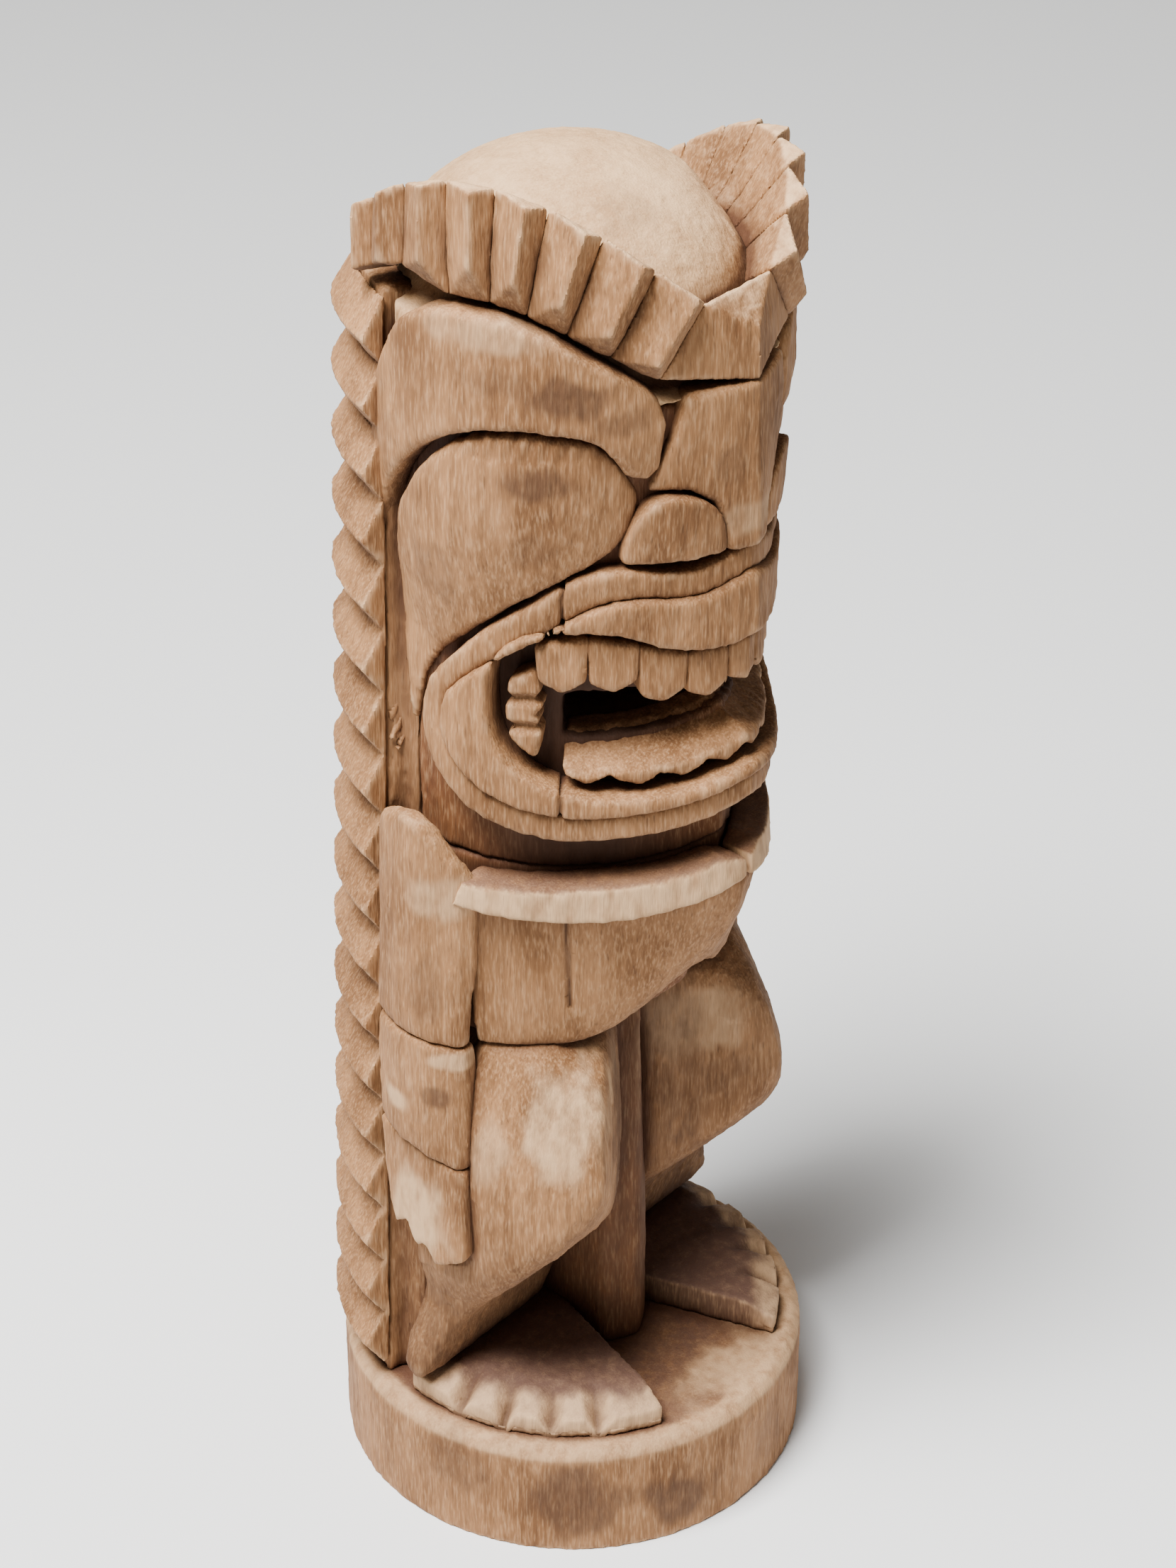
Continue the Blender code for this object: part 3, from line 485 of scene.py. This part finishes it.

# %% [markdown]
# ## How shut in every spot is
# Shade is painted dark into the hollows and a highlight is painted pale on the edges. The whole figure is
# filled into small cubes, the filling is blurred, and each corner reads how much wood is around it: half on a
# flat face, more in a cut, less on an edge.

# %% Wood around every corner
CUBE = 1.5 * MM
BLOCK_WIDE, BLOCK_HIGH = 0.175, 0.512
SPAN = int(BLOCK_WIDE / CUBE)
RISE = int(BLOCK_HIGH / CUBE)
ORIGIN = np.array((-BLOCK_WIDE / 2, -BLOCK_WIDE / 2, -0.006))
ABOVE = 0.52         # rays start here, over the figure
MOST_CROSSINGS = 40
JUST_UNDER = 1e-5    # a ray goes on from just under the surface it has crossed
filled = np.zeros((SPAN, SPAN, RISE), dtype=np.float32)
for node, piece in carved.items():
    points = points_of(piece)
    corners = [tuple(face.vertices) for face in piece.data.polygons]
    tree = BVHTree.FromPolygons(points.tolist(), corners)
    low = np.floor((points.min(0) - ORIGIN) / CUBE).astype(int)
    high = np.ceil((points.max(0) - ORIGIN) / CUBE).astype(int)
    for i in range(low[0], high[0]):
        for j in range(low[1], high[1]):
            place = Vector(ORIGIN + CUBE * np.array((i + 0.5, j + 0.5, 0)))
            place.z = ABOVE
            heights = []
            hit = tree.ray_cast(place, (0, 0, -1))[0]
            while hit is not None and len(heights) < MOST_CROSSINGS:
                heights.append(hit.z)
                place.z = hit.z - JUST_UNDER
                hit = tree.ray_cast(place, (0, 0, -1))[0]
            for top, bottom in zip(heights[0::2], heights[1::2]):
                first = int(round((bottom - ORIGIN[2]) / CUBE))
                last = int(round((top - ORIGIN[2]) / CUBE))
                filled[i, j, max(first, 0):last] = 1


def blur(grid, reach):
    """Evens out a grid over a number of cubes, three times along each axis."""
    for _ in range(3):
        for axis in range(3):
            padded = np.concatenate([np.zeros_like(grid.take([0], axis)), np.cumsum(grid, axis)], axis)
            count = grid.shape[axis]
            upper = np.minimum(np.arange(count) + reach + 1, count)
            lower = np.maximum(np.arange(count) - reach, 0)
            grid = (padded.take(upper, axis) - padded.take(lower, axis)) / (2 * reach + 1)
    return grid


def read_grid(grid, points):
    """The grid's value at every point, evenly between cubes."""
    spot = (points - ORIGIN) / CUBE - 0.5
    base = np.clip(np.floor(spot).astype(int), 0, np.array(grid.shape) - 2)
    return between_corners(grid, base, np.clip(spot - base, 0, 1))


near_wood, far_wood = blur(filled, 1), blur(filled, 3)
for piece in carved.values():
    points = points_of(piece)
    spot = points + facing_of(piece) * 1.0 * MM
    # painted shade in hollows: darker where more wood is around
    paint(piece, "painted_hollow_shade", np.clip((read_grid(far_wood, spot) - 0.42) * 3.8, 0, 1))
    # painted highlight on edges: paler where less wood is around
    paint(piece, "edge_highlight", np.clip((0.40 - read_grid(near_wood, points)) * 5.0, 0, 1))
print("filled share of the block:", round(float(filled.mean()), 3))

# %% [markdown]
# ## Places with their own look
# Dust has turned the upward faces of feet and plinth plum-brown, and wear has left hands, toes and one side
# of the plinth's top pale again. Shade is painted dark and red on undersides, in the mouth, under the crest
# and on the insides of the legs and over the far leg, and light is painted pale on the crest's upward faces.
# The marks are numbers kept at the corners, so that one finish can read them all.

# %% Stains and pale patches by place
def patch(points, degrees, height, wide, high):
    """1 at a place on the log's surface, falling to 0 at its ragged rim; sizes in millimetres."""
    turn, radius = round_the_log(points)
    aside = np.radians(turn - degrees) * radius / (wide * MM)
    away = np.hypot(aside, (points[:, 2] - height * MM) / (high * MM))
    away += 0.35 * lumps(points, np.array((7, 7, 12)) * MM, 5)
    away += 0.15 * lumps(points, np.array((2, 2, 5)) * MM, 6)
    return 1 - smooth_step(away, 0.55, 1.15)


STAINS = {  # degrees, height, half width, half height, strength
    "brow_right": [(-50, 437, 14, 7, 0.8), (-36, 428, 9, 5, 0.5), (-66, 441, 12, 6, 0.4)],
    "eye_right": [(-57, 408, 16, 6, 0.75), (-88, 372, 10, 12, 0.4), (-60, 385, 10, 7, 0.3)],
    "brow_left": [(50, 425, 12, 9, 0.5)],
    "eye_left": [(60, 390, 16, 8, 0.5)],
    "plinth": [(-50, 22, 18, 16, 0.75), (-22, 16, 16, 14, 0.8), (-78, 30, 14, 12, 0.45),
               (8, 20, 10, 14, 0.3)],
    "leg_right": [(-30, 150, 12, 9, 0.4), (-45, 112, 22, 9, 0.5)],
    "leg_left": [(30, 150, 12, 9, 0.5), (48, 112, 25, 12, 0.6)],
    "forearm_right": [(-85, 182, 5, 4, 0.8)],
    "upper_arm_right": [(-88, 222, 6, 14, 0.4)],
    "skull": [(-20, 478, 12, 5, 0.25)],
    "nose": [(-8, 408, 5, 7, 0.35)],
}
PALE_PATCHES = {
    "leg_right": [(-50, 172, 16, 20, 0.75), (-72, 160, 8, 14, 0.4)],
    "leg_left": [(30, 172, 12, 14, 0.5)],
    "hand_right": [(-92, 128, 14, 20, 0.8)],
    "hand_left": [(92, 128, 14, 20, 0.6)],
    "forearm_right": [(-96, 176, 6, 5, 0.7), (-80, 196, 10, 3, 0.6)],
    "upper_arm_right": [(-84, 258, 12, 8, 0.5)],
    "belly": [(-50, 262, 30, 8, 0.3)],
    "nose": [(0, 388, 20, 6, 0.4)],
    "brow_right": [(-70, 455, 20, 6, 0.4)],
}
for marks, mark in ((STAINS, "stain_and_shade"), (PALE_PATCHES, "worn_and_lit")):
    for node, piece in carved.items():
        points = points_of(piece)
        total = np.zeros(len(points))
        for degrees, height, wide, high, strength in marks.get(node, []):
            total = np.maximum(total, strength * patch(points, degrees, height, wide, high))
        paint(piece, mark, total)
print("stains:", sum(map(len, STAINS.values())), "pale patches:", sum(map(len, PALE_PATCHES.values())))

# %% Dust, worn faces, painted light on tops and painted shade on undersides
for node, piece in carved.items():
    points, facing = points_of(piece), facing_of(piece)
    turn, radius = round_the_log(points)
    ragged = 0.5 * lumps(points, 9 * MM, 7) + 0.25 * lumps(points, 2.5 * MM, 8)
    upward = smooth_step(facing[:, 2], 0.45, 0.85)
    dust = np.zeros(len(points))
    if node.startswith("foot"):
        toes = smooth_step(radius + 0.006 * ragged, 0.062, 0.069)
        dust = upward * (1 - 0.85 * toes)
        paint(piece, "worn_and_lit", toes * 0.7)
    if node == "plinth":
        swept = smooth_step(turn + 22 * ragged, -25, 5) * smooth_step(radius + 0.012 * ragged, 0.052, 0.064)
        rim = smooth_step(radius, 0.0735, 0.0755)
        dust = upward * (1 - 0.9 * np.maximum(swept, rim)) * (0.8 + 0.3 * ragged)
        paint(piece, "worn_and_lit", upward * swept * 0.75)
        paint(piece, "worn_and_lit", rim * smooth_step(points[:, 2], 0.039, 0.041) * 0.6)
    if node in ("belly_core", "belly") or node.startswith("chest"):
        dust = upward * 0.7
    if node.startswith("chest"):
        paint(piece, "worn_and_lit", smooth_step(radius, 0.055, 0.062) * (1 - upward) * 0.8)
    # painted shade on the insides and undersides of legs and column and over the far leg, darker towards the
    # feet
    if node.startswith("leg") or node == "hip_column":
        inner = 1 - smooth_step(np.abs(points[:, 0]), 0.018, 0.034)
        under = smooth_step(-facing[:, 2], 0.0, 0.6)
        under = np.maximum(under, 1 - smooth_step(points[:, 2], 0.085, 0.140))
        far_side = 0.35 if node == "leg_left" else 0.0
        paint(piece, "stain_and_shade", np.maximum(np.maximum(inner, under) * 0.75, far_side) * (0.8 + 0.4 * ragged))
    if node.startswith("skull"):
        paint(piece, "worn_and_lit", upward * (0.45 + 0.5 * ragged))
    # painted light on the crest's upward faces and painted shade under it
    if node.startswith("crest"):
        paint(piece, "worn_and_lit", upward * 0.8)
        paint(piece, "stain_and_shade", smooth_step(-facing[:, 2], 0.2, 0.8) * 0.9)
    if node == "head_core":
        # painted shadow inside the mouth, behind the lips
        paint(piece, "cut", smooth_step(0.062 - radius, 0, 0.012) * (points[:, 2] < 0.372))
    if node == "lower_teeth":
        # painted shade on the mouth's floor behind the teeth
        paint(piece, "stain_and_shade", smooth_step(0.062 - radius, 0, 0.02) * 0.6)
    if not node.startswith(("plinth", "skull")):
        # painted shade on every downward face, except plinth and dome
        paint(piece, "stain_and_shade", smooth_step(-facing[:, 2], 0.25, 0.9) * 0.7)
    paint(piece, "dust", np.clip(dust, 0, 1))
layers = carved["plinth"].data.attributes
print("marks on the plinth:", [layer.name for layer in layers if layer.data_type == "FLOAT"])

# %% [markdown]
# ## The wood itself
# All pieces are cut from one log, so one recipe makes all the woods and only the palette changes. The grain
# runs up the log: streaks, short fibres and fine pores are noises stretched along z and read in the
# object's own coordinates, and as every piece lies at the origin unturned, the grain runs on over the cuts.


# %% Shading written as sums
class Number:
    """A number that comes out of a node, for shading written as plain sums."""

    def __init__(self, finish, socket):
        self.finish, self.socket = finish, socket

    def reckon(self, operation, first, second):
        return self.finish.add("ShaderNodeMath", {"operation": operation}, {0: first, 1: second})

    def __add__(self, other):
        return self.reckon("ADD", self, other)

    def __radd__(self, other):
        return self.reckon("ADD", other, self)

    def __mul__(self, other):
        return self.reckon("MULTIPLY", self, other)

    def __rmul__(self, other):
        return self.reckon("MULTIPLY", other, self)


class Finish:
    """One material and the nodes it is made of."""

    def __init__(self, name):
        self.material = bpy.data.materials.new(name)
        self.material.use_nodes = True
        self.tree = self.material.node_tree
        self.shader = self.tree.nodes["Principled BSDF"]

    def add(self, kind, settings, values, output=0):
        """Adds a node: its settings first, then a value or a link for each input that is named."""
        node = self.tree.nodes.new(kind)
        for setting, value in settings.items():
            setattr(node, setting, value)
        self.fill(node, values)
        return Number(self, node.outputs[output])

    def fill(self, node, values):
        """Sets or links inputs."""
        for socket, value in values.items():
            if isinstance(value, Number):
                self.tree.links.new(value.socket, node.inputs[socket])
            else:
                node.inputs[socket].default_value = value

    def stretch(self, place, low, high, to_low=0.0, to_high=1.0):
        """Maps a range of numbers to another and keeps it there."""
        ends = {"From Min": low, "From Max": high, "To Min": to_low, "To Max": to_high}
        return self.add("ShaderNodeMapRange", {"clamp": True}, {"Value": place} | ends)

    def noise(self, scale, detail=2.0):
        """Noise between 0 and 1, with its scale along x, y and z."""
        where = self.add("ShaderNodeTexCoord", {}, {}, "Object")
        spread = self.add("ShaderNodeVectorMath", {"operation": "MULTIPLY"}, {0: where, 1: scale})
        return self.add("ShaderNodeTexNoise", {}, {"Vector": spread, "Scale": 1.0, "Detail": detail})

    def mark(self, name):
        """A number kept at the corners."""
        return self.add("ShaderNodeAttribute", {"attribute_name": name}, {}, "Fac")

    def over(self, under, share, top):
        """A share of one colour laid over another."""
        return self.add("ShaderNodeMix", {"data_type": "RGBA"}, {0: share, 6: under, 7: top}, 2)


# %% The woods
def colour(red, green, blue):
    """A plain colour."""
    return (red, green, blue, 1.0)


PALE_FIBRE_AND_HIGHLIGHT = colour(0.60, 0.38, 0.205)
PAINTED_HOLLOW_SHADE = colour(0.060, 0.020, 0.007)
DUST = colour(0.100, 0.050, 0.034)
DARK_STAIN_AND_SHADE = colour(0.065, 0.028, 0.012)
PAINTED_CUT_SHADE = colour(0.045, 0.018, 0.008)


def make_wood(name, light, dark):
    """Raw wood between a light and a dark colour."""
    finish = Finish(name)
    streaks = finish.noise((420, 420, 16), 3.0)
    fibres = finish.noise((1300, 1300, 170), 2.0)
    ticks = finish.noise((1500, 1500, 110), 1.0)
    blotches = finish.noise((42, 42, 26), 4.0)
    tone = finish.stretch(streaks * 0.26 + blotches * 0.50 + fibres * 0.24, 0.38, 0.62)
    mottle = finish.noise((260, 260, 110), 2.0)
    base = finish.over(dark, tone, light)
    base = finish.over(base, finish.stretch(fibres, 0.50, 0.72) * 0.22, PALE_FIBRE_AND_HIGHLIGHT)
    base = finish.over(base, finish.stretch(ticks, 0.62, 0.74) * 0.45, DARK_STAIN_AND_SHADE)
    scuffs = finish.stretch(mottle + blotches * 0.4, 0.50, 0.80, 0.45, 1.0)
    # real wear, and painted light on the crest's upward faces
    base = finish.over(base, finish.mark("worn_and_lit") * scuffs, PALE_FIBRE_AND_HIGHLIGHT)
    # painted highlight on the edges
    base = finish.over(base, finish.mark("edge_highlight") * finish.stretch(mottle, 0.40, 0.62) * 0.6, PALE_FIBRE_AND_HIGHLIGHT)
    base = finish.over(base, finish.mark("dust") * finish.stretch(mottle, 0.30, 0.55, 0.6, 0.92), DUST)
    # real stains, and painted shade on undersides, legs and in the mouth
    base = finish.over(base, finish.mark("stain_and_shade") * finish.stretch(mottle, 0.30, 0.50, 0.60, 0.95), DARK_STAIN_AND_SHADE)
    shade = finish.stretch(blotches, 0.30, 0.60, 0.75, 0.95)
    # painted shade in the hollows
    base = finish.over(base, finish.mark("painted_hollow_shade") * shade, PAINTED_HOLLOW_SHADE)
    # painted shade in cuts, cracks, between the toes and inside the mouth
    base = finish.over(base, finish.mark("cut"), PAINTED_CUT_SHADE)
    relief = fibres * 0.6 + mottle * 0.8 + ticks * -0.5
    bumps = finish.add("ShaderNodeBump", {}, {"Strength": 0.55, "Distance": 0.0006, "Height": relief})
    roughness = finish.stretch(tone, 0.0, 1.0, 0.88, 0.72)
    finish.fill(finish.shader, {"Base Color": base, "Roughness": roughness, "Normal": bumps,
                                "Specular IOR Level": 0.3})
    return finish.material


WOODS = {
    "tan_wood": make_wood("tan_wood", colour(0.35, 0.170, 0.068), colour(0.15, 0.064, 0.022)),
    "pale_wood": make_wood("pale_wood", colour(0.54, 0.335, 0.170), colour(0.32, 0.168, 0.070)),
    "brown_wood": make_wood("brown_wood", colour(0.19, 0.074, 0.024), colour(0.09, 0.030, 0.009)),
    "plum_wood": make_wood("plum_wood", colour(0.26, 0.150, 0.085), colour(0.13, 0.068, 0.040)),
}
# the darker brown copy on the column and the recessed cores is painted shade
SLOTS = {"plinth": "tan_wood", "skull": "pale_wood", "hip_column": "brown_wood", "head_core": "brown_wood",
         "lower_teeth": "tan_wood", "foot": "plum_wood", "belly_core": "brown_wood"}
for node, piece in carved.items():
    slot = next((SLOTS[kind] for kind in SLOTS if node.startswith(kind)), "tan_wood")
    piece.data.materials.clear()
    piece.data.materials.append(WOODS[slot])
print("woods:", len(WOODS))

# %% [markdown]
# ## Floor, light and camera
# A pale floor, an even sky and one big soft lamp above the figure's right side. The camera looks down on the
# figure from its right front.

# %% Floor
FLOOR_SIZE = 8.0
bpy.ops.object.select_all(action="DESELECT")
bpy.ops.mesh.primitive_plane_add(size=FLOOR_SIZE, location=(0, 0, cad_low.z))
floor = bpy.context.object
floor.name = "floor"
floor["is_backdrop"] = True
floor_finish = Finish("floor_paint")
floor_finish.fill(floor_finish.shader, {"Base Color": colour(0.86, 0.86, 0.85), "Roughness": 0.9})
floor.data.materials.append(floor_finish.material)
print("floor:", FLOOR_SIZE, "m wide at height", round(cad_low.z, 4))

# %% Sky
world = bpy.data.worlds.new("studio")
world.use_nodes = True
world.node_tree.nodes["Background"].inputs["Color"].default_value = (1.0, 0.99, 0.97, 1)
world.node_tree.nodes["Background"].inputs["Strength"].default_value = 0.24
bpy.context.scene.world = world
print("sky:", world.name)


# %% Light
def soft_box(name, place, aim, size, power):
    """A square area lamp turned to its aim."""
    lamp = bpy.data.lights.new(name, "AREA")
    lamp.size = size
    lamp.energy = power
    holder = bpy.data.objects.new(name, lamp)
    holder.location = place
    holder.rotation_euler = (Vector(aim) - Vector(place)).to_track_quat("-Z", "Y").to_euler()
    bpy.context.scene.collection.objects.link(holder)
    print(name, "lamp:", size, "m wide,", power, "W")


soft_box("window", (-0.75, 0.05, 1.95), (0, 0, 0.25), 0.8, 135)

# %% Camera
VIEW_TURN = math.radians(-49.96)
VIEW_TILT = math.radians(31.99)
VIEW_DISTANCE = 1.0662
VIEW_HEIGHT = 0.9287
VIEW_SIDESTEP = 0.0054
towards = Vector((math.sin(VIEW_TURN), -math.cos(VIEW_TURN), 0))
across = Vector((math.cos(VIEW_TURN), math.sin(VIEW_TURN), 0))
lens = bpy.data.cameras.new("camera")
lens.sensor_width = 36
lens.lens = 87.78
camera = bpy.data.objects.new("camera", lens)
camera.location = towards * VIEW_DISTANCE + across * VIEW_SIDESTEP + Vector((0, 0, VIEW_HEIGHT))
camera.rotation_euler = (math.pi / 2 - VIEW_TILT, 0, VIEW_TURN)
bpy.context.scene.collection.objects.link(camera)
bpy.context.scene.camera = camera
print("camera:", round(camera.location.length, 3), "m from the plinth's middle, lens", round(lens.lens, 1))

# %% Sizes
low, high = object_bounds()
